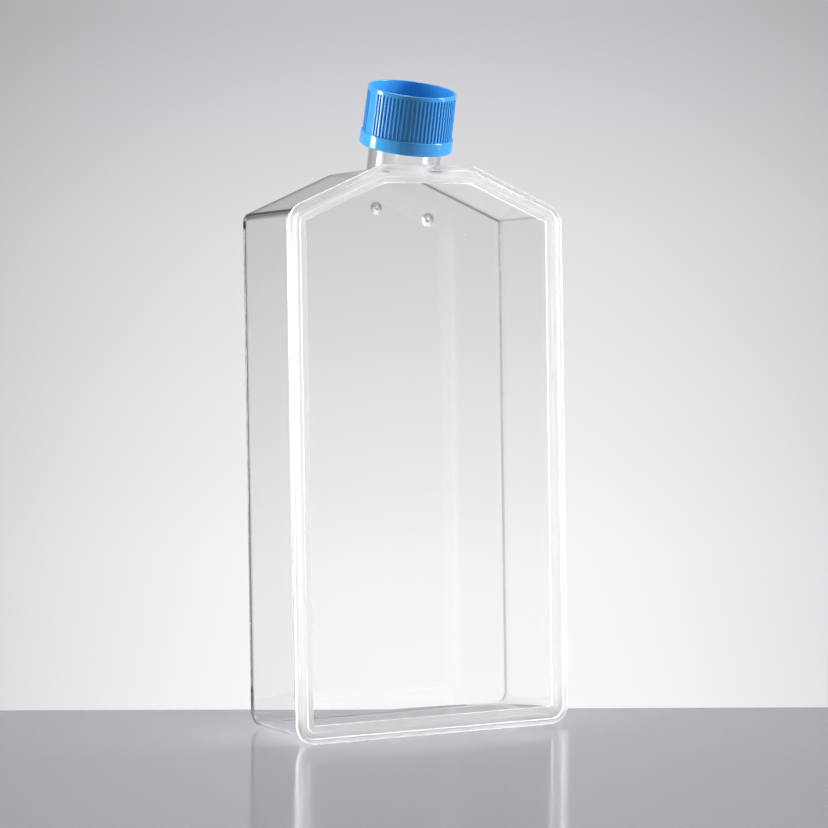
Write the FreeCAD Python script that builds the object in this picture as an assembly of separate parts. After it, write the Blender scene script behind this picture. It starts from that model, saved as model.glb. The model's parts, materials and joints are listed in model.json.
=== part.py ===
import FreeCAD, Part
import math
import os

# Canted-neck cell culture flask, standing on its base.  Millimetres, +Z up.
# X runs across the flask, +Y points out of the growth face, -Y out of the cover.
# The origin is on the standing plane, at the middle of the overall box.

Vector = FreeCAD.Vector

# Outline of the weld flange, seen from the front
FLASK_WIDTH = 112.0
SHOULDER_HEIGHT = 193.0
TOP_HEIGHT = 209.3
TOP_WIDTH = 37.7
BASE_CORNER_R = 7.0
SHOULDER_CORNER_R = 7.0
TRAY_SHOULDER_R = 3.2
TOP_CORNER_R = 5.0

# Depth and walls
FLASK_DEPTH = 46.0
WALL = 2.0
GROWTH_WALL = 1.8
BACK_EDGE_R = 1.5
BACK_INNER_R = 0.8

# Flange and cover plate
FLANGE_OVERHANG = 1.0
FLANGE_THICKNESS = 1.2
LEDGE_THICKNESS = 0.6
PANE_THICKNESS = 1.8
PANE_CLEARANCE = 0.15
RIM_WIDTH = 1.9
RIM_HEIGHT = 1.0
BEAD_GAP = 2.4
BEAD_WIDTH = 2.3
BEAD_HEIGHT = 0.6
RIM_EDGE_R = 0.35
BEAD_EDGE_R = 0.25

# Marks left by the injection gates, below the top of the outline
GATE_DISH_R = 2.6
GATE_DISH_DEPTH = 0.6
GATE_NUB_R = 1.3
GATE_NUB_DROP = 0.15
BACK_GATE_DROP = 13.6
COVER_GATE_DROP = 20.0

# Raised dash that marks the fill level on the cover
FILL_DASH_LENGTH = 7.0
FILL_DASH_WIDTH = 0.5
FILL_DASH_HEIGHT = 0.15
FILL_DASH_MIDDLE = 18.4
FILL_DASH_DROP = 25.5

# Neck, canted towards the cover.  Its lengths run along its own axis
# from the level of the closed cap's lower edge.
NECK_CANT_DEG = 17.3
NECK_OUTER_R = 13.6
NECK_WALL = 2.0
NECK_ROOT_FILLET = 1.6
CAP_EDGE_RISE = 8.0
CAP_EDGE_SETBACK = 18.65

# Screw thread, one start, right hand
THREAD_PITCH = 4.0
THREAD_DEPTH = 1.05
THREAD_ROOT_WIDTH = 1.6
THREAD_CREST_WIDTH = 0.8
THREAD_SINK = 0.2
THREAD_FLANK_GAP = 0.1
NECK_THREAD_START = 3.2
NECK_THREAD_TURNS = 1.6
CAP_THREAD_TURNS = 1.4

# Screw cap
CAP_HEIGHT = 21.9
CAP_BORE_CLEARANCE = 0.25
CAP_WALL = 1.9
COLLAR_STEP = 0.55
COLLAR_HEIGHT = 5.1
COLLAR_EDGE_R = 0.5
GRIP_TAPER = 0.3
PLAIN_RING_HEIGHT = 1.5
RIM_WALL = 1.0
RECESS_TAPER = 0.3
RECESS_DEPTH = 8.0
CAP_FLOOR_THICKNESS = 1.2
MOUTH_CHAMFER = 0.5
RIB_COUNT = 68
PLAIN_PANEL_START = 34
PLAIN_PANEL_GROOVES = 3
GROOVE_DEPTH = 0.45
GROOVE_MOUTH_WIDTH = 0.95
GROOVE_ROOT_WIDTH = 0.5
VENT_HOLE_R = 2.5
VENT_RING_R = 7.5
VENT_RING_COUNT = 6

# Vent membrane under the floor of the cap
MEMBRANE_THICKNESS = 0.3
MEMBRANE_SIDE_GAP = 0.4
MEMBRANE_GAP = 0.05

# What follows from them
CANT = math.radians(NECK_CANT_DEG)
NECK_BORE_R = NECK_OUTER_R - NECK_WALL
CAP_BORE_R = NECK_OUTER_R + THREAD_DEPTH + CAP_BORE_CLEARANCE
GRIP_LOWER_R = CAP_BORE_R + CAP_WALL
GRIP_UPPER_R = GRIP_LOWER_R - GRIP_TAPER
COLLAR_R = GRIP_LOWER_R + COLLAR_STEP
RECESS_R = GRIP_UPPER_R - RIM_WALL
RECESS_FLOOR_R = RECESS_R - RECESS_TAPER
CAP_THREAD_START = NECK_THREAD_START - (THREAD_ROOT_WIDTH + THREAD_CREST_WIDTH) / 2.0 - THREAD_FLANK_GAP
CAP_FLOOR_TOP = CAP_HEIGHT - RECESS_DEPTH
CAP_FLOOR_UNDER = CAP_FLOOR_TOP - CAP_FLOOR_THICKNESS
MEMBRANE_UNDER = CAP_FLOOR_UNDER - MEMBRANE_GAP - MEMBRANE_THICKNESS
LIP_LEVEL = MEMBRANE_UNDER - MEMBRANE_GAP
CAP_FRONT_REACH = CAP_HEIGHT * math.sin(CANT) + GRIP_UPPER_R * math.cos(CANT)
OVERALL_DEPTH = FLASK_DEPTH + max(0.0, CAP_FRONT_REACH - CAP_EDGE_SETBACK)
BACK_Y = OVERALL_DEPTH / 2.0
FRONT_Y = BACK_Y - FLASK_DEPTH
PANE_Y = FRONT_Y + RIM_HEIGHT
WELD_Y = PANE_Y + LEDGE_THICKNESS
CAP_EDGE_Y = FRONT_Y + CAP_EDGE_SETBACK
CAP_EDGE_HEIGHT = TOP_HEIGHT + CAP_EDGE_RISE
BEAD_INSET = RIM_WIDTH + BEAD_GAP


def corner_points(inset):
    """Corners of the flask's outline, moved inwards all round by inset."""
    rise = TOP_HEIGHT - SHOULDER_HEIGHT
    run = (FLASK_WIDTH - TOP_WIDTH) / 2.0
    slope = math.atan2(rise, run)
    side = FLASK_WIDTH / 2.0 - inset
    top = TOP_HEIGHT - inset
    shoulder = SHOULDER_HEIGHT - inset * math.tan(math.pi / 4.0 - slope / 2.0)
    half_top = TOP_WIDTH / 2.0 - inset * math.tan(slope / 2.0)
    right = [(side, inset), (side, shoulder), (half_top, top)]
    left = [(-x, z) for x, z in reversed(right)]
    return right + left


def corner_radii(inset, shoulder_r):
    """Radius at each corner, made smaller by inset."""
    full = [BASE_CORNER_R, shoulder_r, TOP_CORNER_R]
    right = [max(radius - inset, 0.8) for radius in full]
    return right + right[::-1]


def outline_face(inset, y, shoulder_r):
    """Flat face in the plane of y, with the flask's rounded outline."""
    points = [Vector(x, y, z) for x, z in corner_points(inset)]
    radii = corner_radii(inset, shoulder_r)
    count = len(points)
    arcs = []
    for i, corner in enumerate(points):
        before = (points[i - 1] - corner).normalize()
        after = (points[(i + 1) % count] - corner).normalize()
        half_angle = before.getAngle(after) / 2.0
        reach = radii[i] / math.tan(half_angle)
        middle_way = (before + after).normalize()
        centre = corner + middle_way * (radii[i] / math.sin(half_angle))
        start = corner + before * reach
        end = corner + after * reach
        arcs.append((start, centre - middle_way * radii[i], end))
    edges = []
    for i, (start, middle, end) in enumerate(arcs):
        edges.append(Part.Arc(start, middle, end).toShape())
        edges.append(Part.makeLine(end, arcs[(i + 1) % count][0]))
    return Part.Face(Part.Wire(edges))


def outline_slab(inset, y_from, y_to, shoulder_r=SHOULDER_CORNER_R):
    """Slab with the flask's outline, from one plane of y to another."""
    return outline_face(inset, y_from, shoulder_r).extrude(Vector(0, y_to - y_from, 0))


def edges_in_plane(shape, y):
    """Edges that lie wholly in the plane of y."""
    return [edge for edge in shape.Edges
            if abs(edge.BoundBox.YMin - y) < 1e-6 and abs(edge.BoundBox.YMax - y) < 1e-6]


def on_neck(shape):
    """Move a shape from the neck's own axes to its place on the flask."""
    tilt = FreeCAD.Rotation(Vector(1, 0, 0), NECK_CANT_DEG)
    shape.Placement = FreeCAD.Placement(Vector(0, CAP_EDGE_Y, CAP_EDGE_HEIGHT), tilt)
    return shape


def revolved(profile):
    """Solid of revolution about Z from a closed list of (radius, height) points."""
    points = [Vector(radius, 0, height) for radius, height in profile]
    wire = Part.makePolygon(points + points[:1])
    return Part.Face(wire).revolve(Vector(0, 0, 0), Vector(0, 0, 1), 360)


def thread_ridge(wall_r, outward, start, turns):
    """Helical ridge that stands on a round wall, sunk a little into it."""
    sense = 1.0 if outward else -1.0
    sunk_r = wall_r - sense * THREAD_SINK
    crest_r = wall_r + sense * THREAD_DEPTH
    root = THREAD_ROOT_WIDTH / 2.0
    crest = THREAD_CREST_WIDTH / 2.0
    corners = [(sunk_r, start - root), (crest_r, start - crest),
               (crest_r, start + crest), (sunk_r, start + root)]
    points = [Vector(radius, 0, height) for radius, height in corners]
    profile = Part.makePolygon(points + points[:1])
    helix = Part.makeHelix(THREAD_PITCH, turns * THREAD_PITCH, wall_r)
    helix.translate(Vector(0, 0, start))
    return Part.Wire(helix.Edges).makePipeShell([profile], True, True)


def gate_mark(height, face_y, inwards):
    """Round dish of an injection gate, less the domed nub that is left standing in it."""
    ball_r = (GATE_DISH_R ** 2 + GATE_DISH_DEPTH ** 2) / (2.0 * GATE_DISH_DEPTH)
    ball = Part.makeSphere(ball_r)
    ball.translate(Vector(0, face_y + inwards * (GATE_DISH_DEPTH - ball_r), height))
    nub = Part.makeSphere(GATE_NUB_R)
    nub.translate(Vector(0, face_y + inwards * (GATE_NUB_DROP + GATE_NUB_R), height))
    return ball.cut(nub)


def make_flask_body():
    """Tray with its growth wall, sides, shoulders, weld flange and neck, in one moulding."""
    tray_shoulder_r = TRAY_SHOULDER_R + FLANGE_OVERHANG
    tray = outline_slab(FLANGE_OVERHANG, WELD_Y, BACK_Y, tray_shoulder_r)
    tray = tray.makeFillet(BACK_EDGE_R, edges_in_plane(tray, BACK_Y))
    neck_reach = LIP_LEVEL + NECK_BORE_R + NECK_OUTER_R
    stem = Part.makeCylinder(NECK_OUTER_R, neck_reach, Vector(0, 0, LIP_LEVEL - neck_reach))
    body = tray.fuse(on_neck(stem)).removeSplitter()
    root_level = TOP_HEIGHT - FLANGE_OVERHANG
    root_edges = [edge for edge in body.Edges
                  if abs(edge.BoundBox.ZMin - root_level) < 1e-5
                  and abs(edge.BoundBox.ZMax - root_level) < 1e-5
                  and not isinstance(edge.Curve, Part.Line)]
    body = body.makeFillet(NECK_ROOT_FILLET, root_edges)
    flange = outline_slab(0.0, WELD_Y, WELD_Y + FLANGE_THICKNESS)
    body = body.fuse(flange)
    cavity = outline_slab(FLANGE_OVERHANG + WALL, WELD_Y - WALL, BACK_Y - GROWTH_WALL, tray_shoulder_r)
    cavity = cavity.makeFillet(BACK_INNER_R, edges_in_plane(cavity, BACK_Y - GROWTH_WALL))
    bore = Part.makeCylinder(NECK_BORE_R, neck_reach + WALL, Vector(0, 0, LIP_LEVEL - neck_reach))
    thread = thread_ridge(NECK_OUTER_R, True, NECK_THREAD_START, NECK_THREAD_TURNS)
    body = body.cut(cavity).cut(on_neck(bore)).fuse(on_neck(thread))
    body = body.cut(gate_mark(TOP_HEIGHT - BACK_GATE_DROP, BACK_Y, -1))
    return body.removeSplitter()


def make_cover_plate():
    """Clear front plate: a pane that drops into the tray, with a rim and a bead in front."""
    ledge = outline_slab(0.0, PANE_Y, WELD_Y)
    spigot_inset = FLANGE_OVERHANG + WALL + PANE_CLEARANCE
    pane = outline_slab(spigot_inset, PANE_Y, PANE_Y + PANE_THICKNESS)
    rim = outline_slab(0.0, FRONT_Y, PANE_Y)
    rim = rim.cut(outline_slab(RIM_WIDTH, FRONT_Y, PANE_Y))
    rim = rim.makeFillet(RIM_EDGE_R, edges_in_plane(rim, FRONT_Y))
    bead_y = PANE_Y - BEAD_HEIGHT
    bead = outline_slab(BEAD_INSET, bead_y, PANE_Y)
    bead = bead.cut(outline_slab(BEAD_INSET + BEAD_WIDTH, bead_y, PANE_Y))
    bead = bead.makeFillet(BEAD_EDGE_R, edges_in_plane(bead, bead_y))
    dash = Part.makeBox(FILL_DASH_LENGTH, FILL_DASH_HEIGHT, FILL_DASH_WIDTH,
                        Vector(FILL_DASH_MIDDLE - FILL_DASH_LENGTH / 2.0, PANE_Y - FILL_DASH_HEIGHT,
                               TOP_HEIGHT - FILL_DASH_DROP - FILL_DASH_WIDTH / 2.0))
    plate = ledge.fuse([pane, rim, bead, dash])
    plate = plate.cut(gate_mark(TOP_HEIGHT - COVER_GATE_DROP, PANE_Y, 1))
    return plate.removeSplitter()


def grip_radius(level):
    """Outer radius of the cap's grip at a level along the cap."""
    share = (level - COLLAR_HEIGHT) / (CAP_HEIGHT - COLLAR_HEIGHT)
    return GRIP_LOWER_R + (GRIP_UPPER_R - GRIP_LOWER_R) * share


def grip_groove():
    """One groove between two ribs of the cap's grip."""
    sections = []
    for level in (COLLAR_HEIGHT, CAP_HEIGHT - PLAIN_RING_HEIGHT):
        outer = grip_radius(level)
        root = GROOVE_ROOT_WIDTH / 2.0
        mouth = GROOVE_MOUTH_WIDTH / 2.0
        beyond = mouth + (mouth - root)
        corners = [(outer - GROOVE_DEPTH, -root), (outer + GROOVE_DEPTH, -beyond),
                   (outer + GROOVE_DEPTH, beyond), (outer - GROOVE_DEPTH, root)]
        points = [Vector(x, y, level) for x, y in corners]
        sections.append(Part.makePolygon(points + points[:1]))
    return Part.makeLoft(sections, True, True)


def around_axis(shape, count):
    """Equal copies of a shape, spread round the Z axis."""
    copies = []
    for i in range(count):
        copy = shape.copy()
        copy.rotate(Vector(0, 0, 0), Vector(0, 0, 1), 360.0 * i / count)
        copies.append(copy)
    return copies


def make_screw_cap():
    """Ribbed cap with a plain collar, an inner thread and a deep recess over its vents."""
    ease = COLLAR_EDGE_R
    profile = [
        (0.0, CAP_FLOOR_UNDER),
        (CAP_BORE_R, CAP_FLOOR_UNDER),
        (CAP_BORE_R, MOUTH_CHAMFER),
        (CAP_BORE_R + MOUTH_CHAMFER, 0.0),
        (COLLAR_R - ease, 0.0),
        (COLLAR_R, ease),
        (COLLAR_R, COLLAR_HEIGHT - ease),
        (COLLAR_R - ease, COLLAR_HEIGHT),
        (GRIP_LOWER_R, COLLAR_HEIGHT),
        (GRIP_UPPER_R, CAP_HEIGHT),
        (RECESS_R, CAP_HEIGHT),
        (RECESS_FLOOR_R, CAP_FLOOR_TOP),
        (0.0, CAP_FLOOR_TOP),
    ]
    cap = revolved(profile)
    grooves = around_axis(grip_groove(), RIB_COUNT)
    del grooves[PLAIN_PANEL_START:PLAIN_PANEL_START + PLAIN_PANEL_GROOVES]
    cap = cap.cut(grooves)
    vent = Part.makeCylinder(VENT_HOLE_R, CAP_HEIGHT)
    outer_vent = vent.copy()
    outer_vent.translate(Vector(VENT_RING_R, 0, 0))
    cap = cap.cut([vent] + around_axis(outer_vent, VENT_RING_COUNT))
    thread = thread_ridge(CAP_BORE_R, False, CAP_THREAD_START, CAP_THREAD_TURNS)
    return on_neck(cap.fuse(thread).removeSplitter())


def make_vent_membrane():
    """Thin round filter disc that lies between the cap's floor and the neck's lip."""
    disc = Part.makeCylinder(CAP_BORE_R - MEMBRANE_SIDE_GAP, MEMBRANE_THICKNESS,
                             Vector(0, 0, MEMBRANE_UNDER))
    return on_neck(disc)


def main():
    os.makedirs("parts", exist_ok=True)
    pieces = {
        "flask_body": make_flask_body(),
        "cover_plate": make_cover_plate(),
        "screw_cap": make_screw_cap(),
        "vent_membrane": make_vent_membrane(),
    }
    for name, shape in pieces.items():
        shape.exportStep(os.path.join("parts", name + ".step"))
        box = shape.BoundBox
        print(name, len(shape.Solids), shape.isValid(), round(shape.Volume / 1000.0, 2), "cm3",
              [round(v, 2) for v in (box.XMin, box.YMin, box.ZMin, box.XMax, box.YMax, box.ZMax)])


main()
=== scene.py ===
import json
import math

import bmesh
import bpy
from bpy.props import FloatProperty, FloatVectorProperty, IntProperty, PointerProperty
from mathutils import Matrix, Vector


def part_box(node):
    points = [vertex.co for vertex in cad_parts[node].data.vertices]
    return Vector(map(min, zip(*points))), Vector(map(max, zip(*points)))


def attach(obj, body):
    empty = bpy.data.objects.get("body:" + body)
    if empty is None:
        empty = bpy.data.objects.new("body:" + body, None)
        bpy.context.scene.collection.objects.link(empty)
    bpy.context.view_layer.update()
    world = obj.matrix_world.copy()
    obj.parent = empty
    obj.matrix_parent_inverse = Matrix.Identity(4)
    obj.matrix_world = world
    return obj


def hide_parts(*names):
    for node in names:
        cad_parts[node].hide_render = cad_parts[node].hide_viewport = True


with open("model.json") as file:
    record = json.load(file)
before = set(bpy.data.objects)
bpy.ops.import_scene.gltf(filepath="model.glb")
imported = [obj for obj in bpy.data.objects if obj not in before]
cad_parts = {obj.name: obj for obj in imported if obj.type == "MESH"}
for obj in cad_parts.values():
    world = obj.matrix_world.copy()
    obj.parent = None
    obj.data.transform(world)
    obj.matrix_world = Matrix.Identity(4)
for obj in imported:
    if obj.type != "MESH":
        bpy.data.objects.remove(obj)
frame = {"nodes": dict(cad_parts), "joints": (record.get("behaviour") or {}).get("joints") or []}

bl_info = {
    "name": "Cell culture flask",
    "version": (1, 0, 0),
    "blender": (4, 5, 0),
    "location": "3D View > Sidebar > Flask",
    "description": "Models a canted-neck cell culture flask and its studio around the packed frame",
    "category": "Object",
}

# Sizes are in metres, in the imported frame: X across, the cover towards -Y, Z up.
MM = 0.001
TOUCH = 0.001 * MM              # nearer than this, two places are one
SLACK = 0.1 * MM                # room that a test on a radius or a level leaves
SHARP = 0.5                     # angle in radians from which an edge counts as sharp
FLAT = 0.999                    # share of its normal on an axis from which a face lies across
SMOOTH = math.radians(35)       # faces that meet at a smaller angle are shaded as one
LEAST_CORNER = 0.8 * MM         # smallest corner radius of an outline that is moved inwards
THREAD_SUNK = 0.2 * MM          # how deep the foot of a thread lies in its wall
THREAD_STEPS = 64               # steps in one turn of a thread
NECK_RING_EDGE = 2.0 * MM       # the ring of edges round the neck's foot has only shorter ones
PANE_AREA = 0.001               # square metres, which only the pane of the cover exceeds
FACES_PER_RIB = 4               # faces of the cap's wall from one rib to the next
GROOVE_FACES = 2                # how many of them sink into the groove
VENT_FACES = 32                 # faces round a vent hole
STYRENE_IOR = 1.59              # polystyrene bends light more than window glass does
SENSOR_WIDTH = 36.0             # width of the camera's sensor, in millimetres
NEAREST, FARTHEST = 0.01, 50.0  # what the camera can see
BOUNCES = 48                    # enough for light to pass through all the clear walls
ROOM_LEVEL = 0.42               # brightness of the room in front, where the backdrop's is 1
GLOW_SIDE = 0.006               # how far to the right the backdrop is brightest
FILL_SHADE = "dcdce0"           # colour of the light that comes from all round
# Shades of the backdrop, from its foot, which is 0, to its top, which is 1
BACKDROP_SHADES = ((0.0, "f8f7f9"), (0.1, "f5f5f6"), (0.2, "eceaeb"), (0.3, "dfdfe1"),
                   (0.37, "d1d1d5"), (0.43, "c2c2c6"), (0.7, "b0b0b4"), (1.0, "a0a0a4"))

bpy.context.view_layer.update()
COVER_LOW, COVER_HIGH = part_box("cover_plate")
BODY_LOW, BODY_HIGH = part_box("flask_body")
CAP_JOINT = next(joint for joint in frame["joints"] if joint["name"] == "cap_turn")
UPRIGHT = Vector((0.0, 0.0, 1.0))
CAP_FOOT = Vector(CAP_JOINT["pos_m"])
CANT = UPRIGHT.rotation_difference(Vector(CAP_JOINT["axis"]))
NECK_PLACE = Matrix.Translation(CAP_FOOT) @ CANT.to_matrix().to_4x4()


def srgb(code):
    """Linear red, green, blue and alpha from an sRGB hex colour."""
    shares = [int(code[i:i + 2], 16) / 255.0 for i in (0, 2, 4)]
    linear = [c / 12.92 if c <= 0.04045 else ((c + 0.055) / 1.055) ** 2.4 for c in shares]
    return (*linear, 1.0)


def length(name, description, default):
    """A length in metres that a user can change."""
    return FloatProperty(name=name, description=description, default=default, unit="LENGTH",
                         precision=5)


def degrees(name, description, default):
    """An angle that a user can change, given here in degrees."""
    return FloatProperty(name=name, description=description, default=math.radians(default),
                         subtype="ANGLE")


def watts(name, description, default):
    """The power of a lamp, which a user can change."""
    return FloatProperty(name=name, description=description, default=default, unit="POWER")


def number(name, description, default):
    """A whole number that a user can change."""
    return IntProperty(name=name, description=description, default=default)


def colour(name, description, code):
    """A colour that a user can change."""
    return FloatVectorProperty(name=name, description=description, default=srgb(code), size=4,
                               min=0.0, max=1.0, subtype="COLOR")


class FlaskOutline(bpy.types.PropertyGroup):
    """Outline of the flask, seen from the front."""
    half_width: length("Half width", "Half the width of the flange", COVER_HIGH[0])
    top: length("Top", "Height of the flange's flat top", COVER_HIGH[2])
    shoulder: length("Shoulder", "Height at which the sides turn in", 193.0 * MM)
    half_top: length("Half top", "Half the width of the flat top", 18.85 * MM)
    base_radius: length("Base radius", "Radius of the lower corners", 7.0 * MM)
    shoulder_radius: length("Shoulder radius", "Radius where the sides turn in", 7.0 * MM)
    tray_shoulder: length("Tray shoulder", "The same for the tray behind the flange", 4.2 * MM)
    top_radius: length("Top radius", "Radius at the ends of the flat top", 5.0 * MM)


class TraySizes(bpy.types.PropertyGroup):
    """Tray with its flange, in one moulding with the neck."""
    front: length("Front", "Plane in which the tray meets the cover", BODY_LOW[1])
    back: length("Back", "Plane of the growth face", BODY_HIGH[1])
    overhang: length("Overhang", "How far the flange stands out from the tray's wall", 1.0 * MM)
    flange: length("Flange", "Thickness of the flange", 1.2 * MM)
    wall: length("Wall", "Thickness of the sides", 2.0 * MM)
    growth_wall: length("Growth wall", "Thickness of the growth wall", 1.8 * MM)
    edge_radius: length("Edge radius", "Outer radius round the growth face", 1.5 * MM)
    inner_radius: length("Inner radius", "Inner radius round the growth face", 0.8 * MM)


class NeckSizes(bpy.types.PropertyGroup):
    """Canted neck, measured along its own axis from the closed cap's lower edge."""
    radius: length("Radius", "Outer radius of the neck", 13.6 * MM)
    bore: length("Bore", "Radius of the bore", 11.6 * MM)
    lip: length("Lip", "Level of the sealing lip", 12.3 * MM)
    root_fillet: length("Root fillet", "Fillet where the neck leaves the tray", 1.6 * MM)
    pitch: length("Pitch", "Pitch of the screw thread", 4.0 * MM)
    thread_depth: length("Thread depth", "Height of the thread's ridge", 1.05 * MM)
    thread_root: length("Thread root", "Width of the ridge at its foot", 1.6 * MM)
    thread_crest: length("Thread crest", "Width of the ridge at its crest", 0.8 * MM)
    thread_start: length("Thread start", "Level at which the neck's thread starts", 3.2 * MM)
    turns: FloatProperty(name="Turns", description="Turns of the neck's thread", default=1.6)


class CoverSizes(bpy.types.PropertyGroup):
    """Cover plate with its stacking rim and inner bead."""
    front: length("Front", "Plane of the stacking rim", COVER_LOW[1])
    back: length("Back", "Plane of the pane's inner face", COVER_HIGH[1])
    weld: length("Weld", "Clear film between the cover and the tray", 0.03 * MM)
    spigot: length("Spigot", "How far inside the outline the pane drops into the tray", 3.15 * MM)
    rim: length("Rim", "Width of the stacking rim", 1.9 * MM)
    rim_height: length("Rim height", "Height of the stacking rim above the pane", 1.0 * MM)
    rim_radius: length("Rim radius", "Rounding of the rim's edges", 0.35 * MM)
    gap: length("Gap", "Width between the rim and the bead", 2.4 * MM)
    bead: length("Bead", "Width of the bead", 2.3 * MM)
    bead_height: length("Bead height", "Height of the bead above the pane", 0.6 * MM)
    bead_radius: length("Bead radius", "Rounding of the bead's edges", 0.25 * MM)


class GateSizes(bpy.types.PropertyGroup):
    """Marks that the injection gates leave."""
    dish: length("Dish", "Radius of the dish round a gate", 2.6 * MM)
    depth: length("Depth", "Depth of the dish", 0.6 * MM)
    nub: length("Nub", "Radius of the domed nub in the dish", 1.3 * MM)
    nub_drop: length("Nub drop", "How far the nub's top lies below the face", 0.15 * MM)
    back_drop: length("Growth face", "Distance of the growth face's gate from the top", 13.6 * MM)
    cover_drop: length("Cover", "Distance of the cover's gate from the top", 20.0 * MM)


class DashSizes(bpy.types.PropertyGroup):
    """Raised dash on the cover at the fill level."""
    span: length("Length", "Length of the dash", 7.0 * MM)
    width: length("Width", "Width of the dash", 0.5 * MM)
    height: length("Height", "Height of the dash above the pane", 0.15 * MM)
    middle: length("Middle", "Place of the dash across the flask", 18.4 * MM)
    drop: length("Drop", "Distance of the dash from the top", 25.5 * MM)


class CapSizes(bpy.types.PropertyGroup):
    """Ribbed screw cap, along its own axis from its lower edge."""
    height: length("Height", "Height of the cap", 21.9 * MM)
    collar_radius: length("Collar radius", "Outer radius of the plain collar", 17.35 * MM)
    collar_height: length("Collar height", "Height of the plain collar", 5.1 * MM)
    collar_edge: length("Collar edge", "Rounding of the collar's edges", 0.5 * MM)
    grip_lower: length("Grip, lower", "Outer radius of the grip above the collar", 16.8 * MM)
    grip_upper: length("Grip, upper", "Outer radius of the grip at the top", 16.5 * MM)
    plain_ring: length("Plain ring", "Height of the smooth ring above the ribs", 1.5 * MM)
    ribs: number("Ribs", "Number of ribs round the grip", 68)
    plain_start: number("Plain start", "First groove left out for the plain panel", 34)
    plain_count: number("Plain count", "Grooves left out for the plain panel", 3)
    groove: length("Groove", "Depth of the grooves between the ribs", 0.45 * MM)
    rib_edge: length("Rib edge", "Rounding of the ribs", 0.16 * MM)
    rim_wall: length("Rim wall", "Width of the rim on top", 1.0 * MM)
    rim_edge: length("Rim edge", "Rounding of the rim's edges", 0.3 * MM)
    recess_depth: length("Recess depth", "Depth of the recess over the vents", 8.0 * MM)
    recess_floor: length("Recess floor", "Radius of the recess at its floor", 15.2 * MM)
    floor: length("Floor", "Thickness of the cap's floor", 1.2 * MM)
    bore: length("Bore", "Radius of the threaded bore", 14.9 * MM)
    vent: length("Vent", "Radius of a vent hole", 2.5 * MM)
    vent_ring: length("Vent ring", "Radius of the ring of vent holes", 7.5 * MM)
    vents: number("Vents", "Number of vent holes in the ring", 6)
    turns: FloatProperty(name="Turns", description="Turns of the cap's thread", default=1.4)
    thread_start: length("Thread start", "Level at which the cap's thread starts", 1.9 * MM)


class Finishes(bpy.types.PropertyGroup):
    """Colours of the materials."""
    styrene: colour("Polystyrene", "Tint of the clear moulding", "fefefe")
    cap: colour("Cap", "Colour of the cap's polyethylene", "45a1e3")
    membrane: colour("Membrane", "Colour of the vent membrane", "f2f2ee")
    bench: colour("Bench", "Colour of the glossy board", "86868a")


class StageSizes(bpy.types.PropertyGroup):
    """Board, camera, softboxes and the board's own lamp."""
    lean: degrees("Lean", "Angle at which the flask leans back on its flange", 1.37)
    azimuth: degrees("Azimuth", "Direction of the camera round the flask", -26.74)
    elevation: degrees("Elevation", "Height of the camera as an angle", 1.57)
    roll: degrees("Roll", "Turn of the camera about its own axis", -0.83)
    distance: length("Distance", "Distance from the camera to the point it looks at", 1.0051)
    lens: FloatProperty(name="Lens", description="Focal length of the camera", default=116.5,
                        unit="CAMERA")
    aim_right: length("Aim right", "Where the camera looks, to the right of the flask", 3.69 * MM)
    aim_up: length("Aim up", "Where the camera looks, above the board", 117.5 * MM)
    board_width: length("Board width", "Size of the board from side to side", 5.0)
    board_depth: length("Board depth", "Size of the board from front to back", 4.0)
    board_thickness: length("Board thickness", "Thickness of the board", 20.0 * MM)
    board_edge: length("Board edge", "Rounding of the board's edges", 1.5 * MM)
    board_behind: length("Board behind", "How far the board reaches behind the flask", 57.7 * MM)
    box_distance: length("Softbox distance", "Distance of the softboxes from the flask", 1.6)
    box_level: length("Softbox level", "Height of the softboxes' middle", 480.0 * MM)
    box_width: length("Softbox width", "Width of each softbox", 440.0 * MM)
    box_height: length("Softbox height", "Height of the softboxes at the sides", 2.0)
    top_depth: length("Top softbox", "Depth of the softbox overhead", 1.0)
    left_power: watts("Left power", "Power of the left softbox", 52.0)
    right_power: watts("Right power", "Power of the right softbox", 56.0)
    top_power: watts("Top power", "Power of the softbox overhead", 20.0)
    lamp_size: length("Board lamp size", "Side of the square lamp over the board", 4.0)
    lamp_level: length("Board lamp level", "Height of the lamp over the board", 2.5)
    lamp_power: watts("Board lamp power", "Power of the lamp over the board", 125.0)


class FlaskSettings(bpy.types.PropertyGroup):
    """Everything that a user would change."""
    outline: PointerProperty(type=FlaskOutline)
    tray: PointerProperty(type=TraySizes)
    neck: PointerProperty(type=NeckSizes)
    cover: PointerProperty(type=CoverSizes)
    gates: PointerProperty(type=GateSizes)
    dash: PointerProperty(type=DashSizes)
    cap: PointerProperty(type=CapSizes)
    finishes: PointerProperty(type=Finishes)
    stage: PointerProperty(type=StageSizes)


# Modelling

def leave_edit():
    """Go back to object mode, with nothing selected."""
    if bpy.context.mode != "OBJECT":
        bpy.ops.object.mode_set(mode="OBJECT")
    bpy.ops.object.select_all(action="DESELECT")


def only(piece):
    """Select one object alone and make it active."""
    leave_edit()
    piece.select_set(True)
    bpy.context.view_layer.objects.active = piece


def settle(piece, place=None):
    """Put an object's place into its mesh and leave the object at the origin."""
    only(piece)
    if place is not None:
        piece.matrix_world = place @ piece.matrix_world
    bpy.ops.object.transform_apply(location=True, rotation=True, scale=True)


def edit(piece):
    """Open a piece in edit mode."""
    only(piece)
    bpy.ops.object.mode_set(mode="EDIT")


def pick(piece, kind, test):
    """In edit mode, select only the faces or edges that pass a test."""
    bpy.ops.mesh.select_mode(type=kind)
    bpy.ops.mesh.select_all(action="DESELECT")
    cage = bmesh.from_edit_mesh(piece.data)
    found = [part for part in (cage.faces if kind == "FACE" else cage.edges) if test(part)]
    for part in found:
        part.select_set(True)
    bmesh.update_edit_mesh(piece.data)
    if not found:
        raise RuntimeError(f"nothing to pick on {piece.name}")


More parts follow.
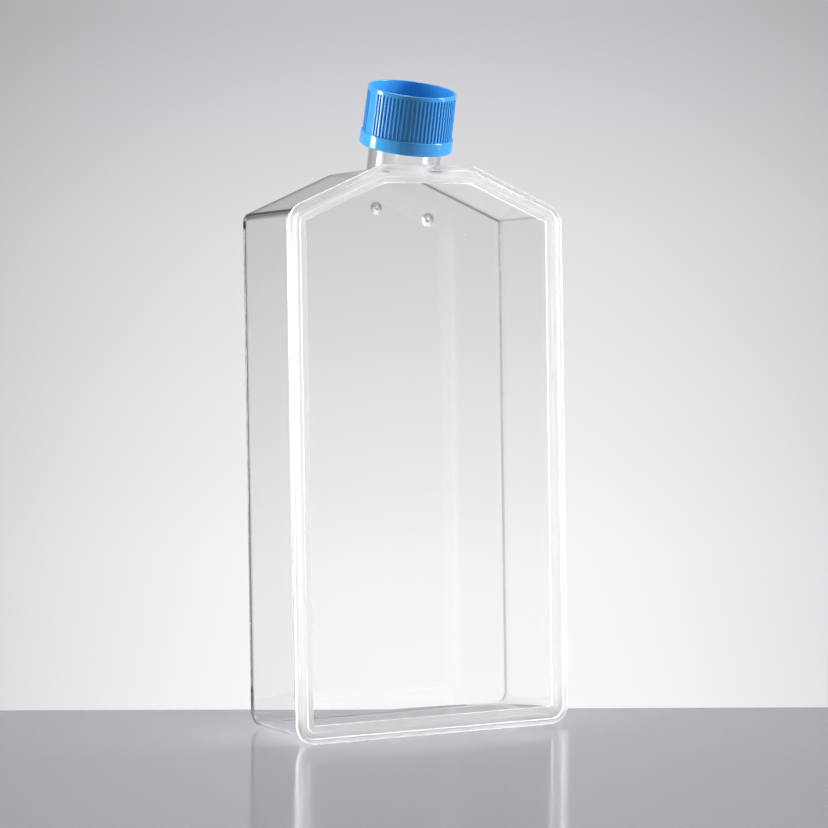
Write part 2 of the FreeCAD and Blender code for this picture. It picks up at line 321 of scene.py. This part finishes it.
def facing(axis, level):
    """Test for faces that lie flat across an axis at a level."""
    return lambda face: (abs(face.calc_center_median()[axis] - level) < TOUCH
                         and abs(face.normal[axis]) > FLAT)


def edges_at(axis, level):
    """Test for open or sharp edges that lie wholly in a plane across an axis."""
    return lambda edge: (all(abs(vert.co[axis] - level) < TOUCH for vert in edge.verts)
                         and edge.calc_face_angle(math.pi) > SHARP)


def edges_along_y(level):
    """Test for edges along Y at a height."""
    return lambda edge: (all(abs(vert.co.z - level) < TOUCH for vert in edge.verts)
                         and abs(edge.verts[0].co.x - edge.verts[1].co.x) < TOUCH)


def push(move, scale=None):
    """Extrude what is selected, and scale its end about the axis of the piece."""
    bpy.ops.mesh.extrude_region_move(TRANSFORM_OT_translate={"value": move})
    if scale is not None:
        bpy.ops.transform.resize(value=(scale, scale, 1.0), center_override=(0, 0, 0))


def soften(piece, test, radius, segments=3):
    """Round the edges that pass a test."""
    pick(piece, "EDGE", test)
    bpy.ops.mesh.bevel(offset=radius, segments=segments, profile=0.5, affect="EDGES")


def combine(piece, other, operation):
    """Join or cut a piece with another object, which is used up."""
    only(piece)
    change = piece.modifiers.new("combine", "BOOLEAN")
    change.operation = operation
    change.solver = "EXACT"
    change.object = other
    bpy.ops.object.modifier_apply(modifier=change.name)
    bpy.data.objects.remove(other)


def finish_surface(piece):
    """Smooth the rounded parts and keep the flat walls flat."""
    only(piece)
    bpy.ops.object.shade_smooth_by_angle(angle=SMOOTH)
    flat = piece.modifiers.new("flat_walls", "WEIGHTED_NORMAL")
    flat.keep_sharp = True
    flat.weight = 100  # the largest face alone decides
    bpy.ops.object.modifier_apply(modifier=flat.name)


def cylinder(name, radius, low, high, vertices=96, centre=(0.0, 0.0)):
    """Round bar along Z."""
    leave_edit()
    bpy.ops.mesh.primitive_cylinder_add(vertices=vertices, radius=radius, depth=high - low,
                                        location=(centre[0], centre[1], (low + high) / 2.0))
    bar = bpy.context.object
    bar.name = name
    settle(bar)
    return bar


def outline_slab(name, outline, inset, y_from, y_to, shoulder_radius):
    """Slab with the flask's rounded outline, moved inwards all round by inset."""
    slope = math.atan2(outline.top - outline.shoulder, outline.half_width - outline.half_top)
    side = outline.half_width - inset
    top = outline.top - inset
    shoulder = outline.shoulder - inset * math.tan(math.pi / 4.0 - slope / 2.0)
    half_top = outline.half_top - inset * math.tan(slope / 2.0)
    leave_edit()
    bpy.ops.mesh.primitive_cube_add(size=1.0)
    slab = bpy.context.object
    slab.name = name
    slab.scale = (2.0 * side, y_to - y_from, shoulder - inset)
    slab.location = (0.0, (y_from + y_to) / 2.0, (shoulder + inset) / 2.0)
    settle(slab)
    edit(slab)
    pick(slab, "FACE", facing(2, shoulder))
    push((0, 0, top - shoulder))
    bpy.ops.transform.resize(value=(half_top / side, 1.0, 1.0), center_override=(0, 0, 0))
    for level in (y_from, y_to):
        pick(slab, "FACE", facing(1, level))
        bpy.ops.mesh.dissolve_faces()
    # Height of each pair of corners, its radius, the angle between its sides and its segments
    for level, radius, angle, segments in (
            (inset, outline.base_radius, math.pi / 2.0, 10),
            (shoulder, shoulder_radius, math.pi / 2.0 + slope, 8),
            (top, outline.top_radius, math.pi - slope, 4)):
        reach = max(radius - inset, LEAST_CORNER) / math.tan(angle / 2.0)
        soften(slab, edges_along_y(level), reach, segments)
    return slab


def thread_ridge(name, neck, wall_radius, outward, start, turns):
    """Helical ridge that stands on a round wall, sunk a little into it."""
    sense = 1.0 if outward else -1.0
    sunk = wall_radius - sense * THREAD_SUNK
    crest = wall_radius + sense * neck.thread_depth
    leave_edit()
    bpy.ops.mesh.primitive_plane_add(size=1.0, rotation=(math.pi / 2.0, 0, 0))
    ridge = bpy.context.object
    ridge.name = name
    ridge.scale = (abs(crest - sunk), neck.thread_root, 1.0)
    ridge.location = ((sunk + crest) / 2.0, 0.0, start)
    settle(ridge)
    edit(ridge)
    pick(ridge, "EDGE", edges_at(0, crest))
    bpy.ops.transform.resize(value=(1.0, 1.0, neck.thread_crest / neck.thread_root),
                             center_override=(0, 0, start))
    bpy.ops.object.mode_set(mode="OBJECT")
    turn = ridge.modifiers.new("turns", "SCREW")
    turn.axis = "Z"
    turn.angle = math.tau * turns
    turn.screw_offset = neck.pitch * turns
    turn.steps = turn.render_steps = int(THREAD_STEPS * turns)
    only(ridge)
    bpy.ops.object.modifier_apply(modifier=turn.name)
    edit(ridge)
    bpy.ops.mesh.select_mode(type="EDGE")
    bpy.ops.mesh.select_all(action="DESELECT")
    bpy.ops.mesh.select_non_manifold()
    bpy.ops.mesh.fill_holes(sides=0)
    bpy.ops.mesh.select_all(action="SELECT")
    bpy.ops.mesh.normals_make_consistent(inside=False)
    bpy.ops.object.mode_set(mode="OBJECT")
    return ridge


def ball(name, radius, height):
    """Ball on the Z axis, with its centre at a height."""
    leave_edit()
    bpy.ops.mesh.primitive_uv_sphere_add(segments=64, ring_count=48, radius=radius,
                                         location=(0, 0, height))
    made = bpy.context.object
    made.name = name
    settle(made)
    return made


def gate_cutter(gates, height, face_y, inwards):
    """Shallow ball that cuts the dish round an injection gate and leaves its domed nub."""
    radius = (gates.dish ** 2 + gates.depth ** 2) / (2.0 * gates.depth)
    cutter = ball("gate", radius, radius - gates.depth)
    combine(cutter, ball("nub", gates.nub, -gates.nub_drop - gates.nub), "DIFFERENCE")
    turn = Matrix.Rotation(inwards * math.pi / 2.0, 4, "X")
    settle(cutter, Matrix.Translation((0.0, face_y, height)) @ turn)
    return cutter


def fill_dash(dash, height, face_y):
    """Flat bar that stands out of the cover at the fill level."""
    leave_edit()
    bpy.ops.mesh.primitive_cube_add(size=1.0)
    bar = bpy.context.object
    bar.scale = (dash.span, 2.0 * dash.height, dash.width)
    bar.location = (dash.middle, face_y, height)
    settle(bar)
    return bar


# Materials

def node(tree, kind, settings=None, links=None):
    """Add a shader node, set its inputs and properties, and link its inputs."""
    made = tree.nodes.new(kind)
    for key, value in (settings or {}).items():
        if isinstance(key, int) or key in made.inputs:
            made.inputs[key].default_value = value
        else:
            setattr(made, key, value)
    for key, output in (links or {}).items():
        tree.links.new(output, made.inputs[key])
    return made


def new_material(name, **values):
    """A Principled material with some of the shader's own sockets set."""
    material = bpy.data.materials.new(name)
    material.use_nodes = True
    shader = material.node_tree.nodes["Principled BSDF"]
    for key, value in values.items():
        shader.inputs[key.replace("_", " ")].default_value = value
    return material, material.node_tree, shader


def noise(tree, width, detail):
    """Cloudy pattern that stays on its piece, with blots of a width."""
    place = node(tree, "ShaderNodeTexCoord")
    blots = node(tree, "ShaderNodeTexNoise", {"Scale": 1.0 / width, "Detail": detail},
                 {"Vector": place.outputs["Object"]})
    return blots.outputs[0]


def roughen(tree, shader, pattern, depth, strength):
    """Raise a pattern on the surface by a depth, as far as the strength lets it show."""
    bump = node(tree, "ShaderNodeBump", {"Strength": strength, "Distance": depth},
                {"Height": pattern})
    tree.links.new(bump.outputs["Normal"], shader.inputs["Normal"])


def moulded_polystyrene(finishes):
    """Clear crystal polystyrene, injection moulded in a polished tool.

    It bends light more than window glass, so every edge draws a bright line,
    and the melt leaves a faint long wave in the walls.
    """
    material, tree, shader = new_material("moulded_polystyrene", Base_Color=finishes.styrene,
                                          Roughness=0.0, IOR=STYRENE_IOR,
                                          Transmission_Weight=1.0)
    wave = noise(tree, 36.0 * MM, 1.0)
    roughen(tree, shader, wave, 0.01 * MM, 0.05)
    return material


def matt_polystyrene(finishes):
    """The same polystyrene where the tool is spark eroded.

    Its fine grain scatters light like ground glass. The real grain is about 0.03 mm wide,
    and is drawn ten times as coarse, so that it shows.
    """
    material, tree, shader = new_material("matt_polystyrene", Base_Color=finishes.styrene,
                                          Roughness=0.4, IOR=STYRENE_IOR,
                                          Transmission_Weight=1.0)
    grain = noise(tree, MM / 3.0, 2.0)
    roughen(tree, shader, grain, 0.05 * MM, 0.2)
    return material


def moulded_polyethylene(finishes):
    """Blue polyethylene, injection moulded in a satin tool.

    Light goes a little way into it, and its soft skin, with a grain of about a millimetre,
    has a waxy gloss.
    """
    material, tree, shader = new_material("moulded_polyethylene", Base_Color=finishes.cap,
                                          Roughness=0.14, IOR=1.51, Subsurface_Weight=0.15,
                                          Subsurface_Scale=1.0 * MM)
    grain = noise(tree, 1.1 * MM, 3.0)
    roughen(tree, shader, grain, 0.01 * MM, 0.1)
    return material


def pressed_membrane(finishes):
    """White filter film on a fine non-woven backing, pressed flat: matt, with short fibres.

    The real fibres are about 0.04 mm wide, and are drawn ten times as coarse, so that they show.
    """
    material, tree, shader = new_material("pressed_membrane", Base_Color=finishes.membrane,
                                          Roughness=0.8)
    fibres = noise(tree, 0.4 * MM, 4.0)
    roughen(tree, shader, fibres, 0.1 * MM, 0.4)
    return material


def lacquered_board(finishes):
    """Grey board under a polished clear lacquer, which mirrors what stands on it.

    Polishing leaves the lacquer a little duller in patches about as wide as a hand.
    """
    material, tree, shader = new_material("lacquered_board", Base_Color=finishes.bench,
                                          IOR=1.5)
    rough = node(tree, "ShaderNodeMapRange", {"To Min": 0.09, "To Max": 0.13},
                 {"Value": noise(tree, 167.0 * MM, 2.0)})
    tree.links.new(rough.outputs["Result"], shader.inputs["Roughness"])
    return material


class MixMaterials(bpy.types.Operator):
    """Make the materials from the chosen colours"""
    bl_idname = "flask.mix_materials"
    bl_label = "Materials"

    def execute(self, context):
        finishes = context.scene.culture_flask.finishes
        for make in (moulded_polystyrene, matt_polystyrene, moulded_polyethylene,
                     pressed_membrane, lacquered_board):
            make(finishes)
        return {"FINISHED"}


# Pieces

class BuildTray(bpy.types.Operator):
    """Model the clear tray with its flange and threaded neck"""
    bl_idname = "flask.build_tray"
    bl_label = "Tray and neck"

    def execute(self, context):
        sizes = context.scene.culture_flask
        outline, tray, neck = sizes.outline, sizes.tray, sizes.neck
        body = outline_slab("tray_with_neck", outline, tray.overhang,
                            tray.front + tray.flange / 2.0, tray.back, outline.tray_shoulder)
        soften(body, edges_at(1, tray.back), tray.edge_radius, segments=8)

        # The neck's bar and its bore start far enough inside to reach the chamber all round
        reach = neck.lip + neck.radius + neck.bore
        stem = cylinder("stem", neck.radius, neck.lip - reach, neck.lip)
        settle(stem, NECK_PLACE)
        combine(body, stem, "UNION")
        on_top = edges_at(2, outline.top - tray.overhang)

        def round_neck(edge):
            return (on_top(edge) and edge.calc_length() < NECK_RING_EDGE
                    and (edge.verts[0].co.xy - CAP_FOOT.xy).length < 1.5 * neck.radius)

        edit(body)
        soften(body, round_neck, neck.root_fillet, segments=5)

        flange = outline_slab("flange", outline, 0.0, tray.front, tray.front + tray.flange,
                              outline.shoulder_radius)
        combine(body, flange, "UNION")
        inner_face = tray.back - tray.growth_wall
        cavity = outline_slab("cavity", outline, tray.overhang + tray.wall,
                              tray.front - tray.wall, inner_face, outline.tray_shoulder)
        soften(cavity, edges_at(1, inner_face), tray.inner_radius, segments=6)
        combine(body, cavity, "DIFFERENCE")
        bore = cylinder("bore", neck.bore, neck.lip - reach, neck.lip + tray.wall)
        settle(bore, NECK_PLACE)
        combine(body, bore, "DIFFERENCE")
        thread = thread_ridge("thread", neck, neck.radius, True, neck.thread_start, neck.turns)
        settle(thread, NECK_PLACE)
        combine(body, thread, "UNION")
        gate = gate_cutter(sizes.gates, outline.top - sizes.gates.back_drop, tray.back, -1.0)
        combine(body, gate, "DIFFERENCE")
        finish_surface(body)
        body.data.materials.append(bpy.data.materials["moulded_polystyrene"])
        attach(body, "flask")
        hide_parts("flask_body")
        return {"FINISHED"}


class BuildCover(bpy.types.Operator):
    """Model the clear cover with its stacking rim and inner bead"""
    bl_idname = "flask.build_cover"
    bl_label = "Cover plate"

    def execute(self, context):
        sizes = context.scene.culture_flask
        outline, cover = sizes.outline, sizes.cover
        pane_front = cover.front + cover.rim_height
        weld = sizes.tray.front - cover.weld
        plate = outline_slab("cover_pane", outline, 0.0, cover.front, weld,
                             outline.shoulder_radius)
        pick(plate, "FACE", facing(1, cover.front))
        for width, step in ((cover.rim, cover.rim_height), (cover.gap, -cover.bead_height),
                            (cover.bead, cover.bead_height)):
            bpy.ops.mesh.inset(thickness=width)
            push((0, step, 0))
        pick(plate, "FACE", facing(1, weld))
        bpy.ops.mesh.inset(thickness=cover.spigot)
        push((0, cover.back - weld, 0))
        soften(plate, edges_at(1, cover.front), cover.rim_radius)
        soften(plate, edges_at(1, pane_front - cover.bead_height), cover.bead_radius)
        leave_edit()
        for name in ("moulded_polystyrene", "matt_polystyrene"):
            plate.data.materials.append(bpy.data.materials[name])
        edit(plate)
        pick(plate, "FACE", lambda face: (face.calc_area() < PANE_AREA
                                          and face.calc_center_median().y < pane_front + TOUCH))
        plate.active_material_index = 1
        bpy.ops.object.material_slot_assign()

        gate = gate_cutter(sizes.gates, outline.top - sizes.gates.cover_drop, pane_front, 1.0)
        combine(plate, gate, "DIFFERENCE")
        dash = fill_dash(sizes.dash, outline.top - sizes.dash.drop, pane_front)
        combine(plate, dash, "UNION")
        finish_surface(plate)
        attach(plate, "flask")
        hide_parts("cover_plate")
        return {"FINISHED"}


class BuildCap(bpy.types.Operator):
    """Model the ribbed screw cap with its recess, vents and thread"""
    bl_idname = "flask.build_cap"
    bl_label = "Screw cap"

    def execute(self, context):
        sizes = context.scene.culture_flask
        cap = sizes.cap
        rib_top = cap.height - cap.plain_ring
        shell = self.draw_shell(cap, rib_top)
        thread = thread_ridge("thread", sizes.neck, cap.bore, False, cap.thread_start, cap.turns)
        combine(shell, thread, "UNION")
        edit(shell)
        self.cut_grooves(shell, cap, rib_top)
        self.round_edges(shell, cap)
        leave_edit()
        self.drill_vents(shell, cap)
        settle(shell, NECK_PLACE)
        finish_surface(shell)
        shell.data.materials.append(bpy.data.materials["moulded_polyethylene"])
        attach(shell, "cap")
        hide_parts("screw_cap")
        return {"FINISHED"}

    def draw_shell(self, cap, rib_top):
        """Collar, grip, recess and bore, drawn out of one round bar."""
        share = (rib_top - cap.collar_height) / (cap.height - cap.collar_height)
        ring_radius = cap.grip_lower + (cap.grip_upper - cap.grip_lower) * share
        shell = cylinder("ribbed_cap", cap.collar_radius, 0.0, cap.collar_height,
                         vertices=FACES_PER_RIB * cap.ribs)
        edit(shell)
        pick(shell, "FACE", facing(2, cap.collar_height))
        bpy.ops.mesh.inset(thickness=cap.collar_radius - cap.grip_lower)
        push((0, 0, rib_top - cap.collar_height), ring_radius / cap.grip_lower)
        push((0, 0, cap.plain_ring), cap.grip_upper / ring_radius)
        bpy.ops.mesh.inset(thickness=cap.rim_wall)
        push((0, 0, -cap.recess_depth), cap.recess_floor / (cap.grip_upper - cap.rim_wall))
        pick(shell, "FACE", facing(2, 0.0))
        bpy.ops.mesh.inset(thickness=cap.collar_radius - cap.bore)
        push((0, 0, cap.height - cap.recess_depth - cap.floor))
        return shell

    def cut_grooves(self, shell, cap, rib_top):
        """Sink the grooves between the ribs, but leave the plain panel, and round the ribs."""
        middle = (cap.collar_height + rib_top) / 2.0
        step = math.tau / (FACES_PER_RIB * cap.ribs)
        panel = range(cap.plain_start, cap.plain_start + cap.plain_count)

        def in_groove(face):
            centre = face.calc_center_median()
            if abs(centre.z - middle) > SLACK or centre.xy.length < cap.recess_floor:
                return False
            turned = math.atan2(centre.y, centre.x) % math.tau
            groove, part = divmod(int(turned / step + 1.0), FACES_PER_RIB)
            return part < GROOVE_FACES and groove % cap.ribs not in panel

        def groove_mouth(edge):
            low, high = sorted(vert.co.z for vert in edge.verts)
            return (low > cap.collar_height - TOUCH and high < rib_top + TOUCH
                    and high - low > cap.collar_edge
                    and min(vert.co.xy.length for vert in edge.verts) > cap.grip_upper - SLACK
                    and edge.calc_face_angle(0.0) > SHARP)

        pick(shell, "FACE", in_groove)
        bpy.ops.mesh.extrude_region_shrink_fatten(
            TRANSFORM_OT_shrink_fatten={"value": -cap.groove})
        soften(shell, groove_mouth, cap.rib_edge, segments=2)

    def round_edges(self, shell, cap):
        """Round the outer edges of the collar and both edges of the rim."""
        for level in (cap.collar_height, 0.0):
            at_level = edges_at(2, level)
            soften(shell, lambda edge: (at_level(edge) and edge.verts[0].co.xy.length
                                        > cap.collar_radius - SLACK), cap.collar_edge)
        soften(shell, edges_at(2, cap.height), cap.rim_edge)

    def drill_vents(self, shell, cap):
        """Drill a ring of vent holes through the floor of the recess, and one in the middle."""
        under = cap.height - cap.recess_depth - 3.0 * cap.floor
        for i in range(cap.vents + 1):
            angle = math.tau * i / cap.vents
            reach = cap.vent_ring if i < cap.vents else 0.0
            hole = cylinder("vent", cap.vent, under, cap.height, VENT_FACES,
                            (reach * math.cos(angle), reach * math.sin(angle)))
            combine(shell, hole, "DIFFERENCE")


class DressMembrane(bpy.types.Operator):
    """Give the vent membrane its matt film"""
    bl_idname = "flask.dress_membrane"
    bl_label = "Vent membrane"

    def execute(self, context):
        membrane = frame["nodes"]["vent_membrane"]
        membrane.data.materials.clear()
        membrane.data.materials.append(bpy.data.materials["pressed_membrane"])
        return {"FINISHED"}


# Stage

def towards(azimuth, elevation=0.0):
    """Direction from the flask at an azimuth, which is 0 towards -Y, and an elevation."""
    level = math.cos(elevation)
    return Vector((math.sin(azimuth) * level, -math.cos(azimuth) * level, math.sin(elevation)))


def facing_matrix(place, back, roll=0.0):
    """Matrix of a camera or lamp at a place, whose own Z points along back."""
    right = UPRIGHT.cross(back).normalized()
    up = back.cross(right)
    rolled_right = right * math.cos(roll) + up * math.sin(roll)
    rolled_up = up * math.cos(roll) - right * math.sin(roll)
    axes = Matrix((rolled_right, rolled_up, back)).transposed()
    return Matrix.Translation(place) @ axes.to_4x4()


def link_set(name, pieces, state):
    """Collection of the pieces that a lamp includes or leaves out."""
    made = bpy.data.collections.new(name)
    for piece in pieces:
        made.objects.link(piece)
    for linked in made.collection_objects:
        linked.light_linking.link_state = state
    return made


def hang_lamp(scene, name, matrix, size, power, blockers, receivers):
    """Area lamp that lights only its receivers, and whose light only its blockers stop."""
    lamp = bpy.data.objects.new(name, bpy.data.lights.new(name, "AREA"))
    lamp.data.shape = "RECTANGLE"
    lamp.data.size, lamp.data.size_y = size
    lamp.data.energy = power
    lamp.visible_camera = False
    lamp.light_linking.blocker_collection = blockers
    lamp.light_linking.receiver_collection = receivers
    lamp.matrix_world = matrix
    scene.collection.objects.link(lamp)
    return lamp


class SetStage(bpy.types.Operator):
    """Set up the camera, the board, the backdrop and the lamps"""
    bl_idname = "flask.set_stage"
    bl_label = "Stage"

    def execute(self, context):
        scene = context.scene
        stage = scene.culture_flask.stage
        scene.view_settings.view_transform = "Standard"
        for kind in ("max_bounces", "transmission_bounces", "glossy_bounces"):
            setattr(scene.cycles, kind, BOUNCES)
        right = Vector((math.cos(stage.azimuth), math.sin(stage.azimuth), 0.0))
        back = towards(stage.azimuth, stage.elevation)
        self.place_camera(scene, stage, right, back)
        board = self.lay_board(stage)
        self.hang_backdrop(scene, right, back)
        self.hang_lamps(scene, stage, board)
        return {"FINISHED"}

    def place_camera(self, scene, stage, right, back):
        """Camera that looks at a point near the flask's middle."""
        middle_y = (COVER_LOW[1] + BODY_HIGH[1]) / 2.0
        aim = Vector((0.0, middle_y, stage.aim_up)) + right * stage.aim_right
        camera = bpy.data.objects.new("camera", bpy.data.cameras.new("camera"))
        scene.collection.objects.link(camera)
        camera.data.sensor_width = SENSOR_WIDTH
        camera.data.lens = stage.lens
        camera.data.clip_start, camera.data.clip_end = NEAREST, FARTHEST
        camera.matrix_world = facing_matrix(aim + back * stage.distance, back, stage.roll)
        scene.camera = camera

    def lay_board(self, stage):
        """Board under the flask, tilted so that the flask leans back on its flange."""
        leave_edit()
        bpy.ops.mesh.primitive_cube_add(size=1.0)
        board = bpy.context.object
        board.name = "board"
        board.scale = (stage.board_width, stage.board_depth, stage.board_thickness)
        board.location = (0.0, -stage.board_depth / 2.0, -stage.board_thickness / 2.0)
        settle(board)
        edit(board)
        bpy.ops.mesh.select_all(action="SELECT")
        bpy.ops.mesh.bevel(offset=stage.board_edge, segments=3, affect="EDGES")
        foot = Matrix.Translation((0.0, COVER_HIGH[1], 0.0))
        lean = Matrix.Rotation(stage.lean, 4, "X")
        behind = Matrix.Translation(towards(stage.azimuth) * -stage.board_behind)
        turn = Matrix.Rotation(stage.azimuth, 4, "Z")
        settle(board, foot @ lean @ behind @ turn)
        finish_surface(board)
        board.data.materials.append(bpy.data.materials["lacquered_board"])
        return board

    def hang_lamps(self, scene, stage, board):
        """Softboxes for the flask and the cap, and a lamp of its own for the board.

        Clear walls would throw the shadow of opaque ones, so only the cap and the board stop
        the light. The softboxes leave out the board, which would mirror them.
        """
        solid = link_set("solid_pieces", (bpy.data.objects["ribbed_cap"], board), "INCLUDE")
        all_but_board = link_set("all_but_board", (board,), "EXCLUDE")
        board_only = link_set("board_only", (board,), "INCLUDE")
        middle = UPRIGHT * stage.box_level
        # Each softbox's angle round the flask from the camera, angle upwards, height and power
        for name, side, up, height, power in (
                ("left_softbox", -90.0, 0.0, stage.box_height, stage.left_power),
                ("right_softbox", 87.0, 0.0, stage.box_height, stage.right_power),
                ("top_softbox", 180.0, 75.0, stage.top_depth, stage.top_power)):
            away = towards(stage.azimuth + math.radians(side), math.radians(up))
            hang_lamp(scene, name, facing_matrix(away * stage.box_distance + middle, away),
                      (stage.box_width, height), power, solid, all_but_board)
        over_board = Matrix.Translation(UPRIGHT * stage.lamp_level)
        lamp = hang_lamp(scene, "board_light", over_board, (stage.lamp_size, stage.lamp_size),
                         stage.lamp_power, solid, board_only)
        lamp.visible_glossy = lamp.visible_transmission = False

    def hang_backdrop(self, scene, right, back):
        """Pale backdrop that darkens upwards, with a brightness for each kind of ray.

        Clear walls show it a little brighter low down, and their edges bend bright flanks into
        view. Polish mirrors bright sides. Both see a dim room in front of the flask. Matt faces
        get an even fill, which is stronger from behind.
        """
        world = bpy.data.worlds.new("backdrop")
        scene.world = world
        world.use_nodes = True
        tree = world.node_tree
        tree.nodes.clear()

        way = node(tree, "ShaderNodeTexCoord").outputs["Generated"]
        up = node(tree, "ShaderNodeSeparateXYZ", links={0: way}).outputs["Z"]
        across, front = (node(tree, "ShaderNodeVectorMath", {"operation": "DOT_PRODUCT", 1: axis},
                              {0: way}).outputs["Value"] for axis in (right, back))
        off = node(tree, "ShaderNodeMath", {"operation": "SUBTRACT", 1: GLOW_SIDE}, {0: across})
        aside = node(tree, "ShaderNodeMath", {"operation": "POWER", 1: 2.0},
                     {0: off.outputs[0]}).outputs[0]
        # What each value is graded by, between which ends, and what it is at them
        graded = {}
        for name, source, start, end, at_start, at_end in (
                ("shade", up, -0.1387, 0.4613, 0.0, 1.0),       # place among the shades
                ("glow", aside, 0.0, 0.04, 1.04, 0.64),         # brightest in the middle
                ("through", up, -0.0987, 0.0413, 1.13, 0.965),  # what clear walls show
                ("flanks", aside, 0.5, 0.9, 0.0, 0.6),          # what their edges bend into view
                ("sides", aside, 0.06, 0.3, 1.1, 0.4),          # what polish mirrors
                ("room", front, 0.15, 0.5, 0.0, 1.0),           # share of the room in front
                ("fill", front, -0.3, 0.5, 0.8, 0.25)):         # light on matt faces
            graded[name] = node(tree, "ShaderNodeMapRange",
                                {"From Min": start, "From Max": end,
                                 "To Min": at_start, "To Max": at_end},
                                {"Value": source}).outputs["Result"]

        rays = node(tree, "ShaderNodeLightPath").outputs
        clear = node(tree, "ShaderNodeMath", {"operation": "ADD"},
                     {0: graded["through"], 1: graded["flanks"]})
        through_walls, polished = (
            node(tree, "ShaderNodeMix", {"data_type": "FLOAT", 3: ROOM_LEVEL},
                 {0: graded["room"], 2: level}) for level in (clear.outputs[0], graded["sides"]))
        mirrored = node(tree, "ShaderNodeMix", {"data_type": "FLOAT", 2: 1.0},
                        {0: rays["Is Glossy Ray"], 3: polished.outputs[0]})
        strength = node(tree, "ShaderNodeMix", {"data_type": "FLOAT"},
                        {0: rays["Is Transmission Ray"], 2: mirrored.outputs[0],
                         3: through_walls.outputs[0]})
        level = node(tree, "ShaderNodeMath", {"operation": "MULTIPLY"},
                     {0: graded["glow"], 1: strength.outputs[0]})

        shades = node(tree, "ShaderNodeValToRGB", links={"Fac": graded["shade"]})
        stops = shades.color_ramp.elements
        for place, _ in BACKDROP_SHADES[1:-1]:
            stops.new(place)
        for stop, (_, code) in zip(stops, BACKDROP_SHADES):
            stop.color = srgb(code)
        backdrop = node(tree, "ShaderNodeBackground",
                        links={"Color": shades.outputs["Color"], "Strength": level.outputs[0]})
        fill = node(tree, "ShaderNodeBackground", {"Color": srgb(FILL_SHADE)},
                    {"Strength": graded["fill"]})
        mix = node(tree, "ShaderNodeMixShader",
                   links={0: rays["Is Diffuse Ray"], 1: backdrop.outputs[0], 2: fill.outputs[0]})
        node(tree, "ShaderNodeOutputWorld", links={0: mix.outputs[0]})


# Add-on

class FlaskPanel(bpy.types.Panel):
    """Lists the flask's operators and sizes"""
    bl_idname = "FLASK_PT_build"
    bl_label = "Cell culture flask"
    bl_space_type = "VIEW_3D"
    bl_region_type = "UI"
    bl_category = "Flask"

    def draw(self, context):
        for operator in OPERATORS:
            self.layout.operator(operator.bl_idname)
        sizes = context.scene.culture_flask
        for group in FlaskSettings.__annotations__:
            box = self.layout.box()
            box.label(text=group.capitalize())
            part = getattr(sizes, group)
            for name in part.__annotations__:
                box.prop(part, name)


OPERATORS = (MixMaterials, BuildTray, BuildCover, BuildCap, DressMembrane, SetStage)
GROUPS = (FlaskOutline, TraySizes, NeckSizes, CoverSizes, GateSizes, DashSizes, CapSizes,
          Finishes, StageSizes, FlaskSettings)
CLASSES = GROUPS + OPERATORS + (FlaskPanel,)


def register():
    """Register the classes and hang the settings on the scene."""
    for made in CLASSES:
        bpy.utils.register_class(made)
    bpy.types.Scene.culture_flask = PointerProperty(type=FlaskSettings)


def unregister():
    """Undo what register did."""
    del bpy.types.Scene.culture_flask
    for made in reversed(CLASSES):
        bpy.utils.unregister_class(made)


def main():
    """Build the flask and its stage."""
    register()
    bpy.ops.flask.mix_materials()
    bpy.ops.flask.build_tray()
    bpy.ops.flask.build_cover()
    bpy.ops.flask.build_cap()
    bpy.ops.flask.dress_membrane()
    bpy.ops.flask.set_stage()


if __name__ == "__main__":
    main()
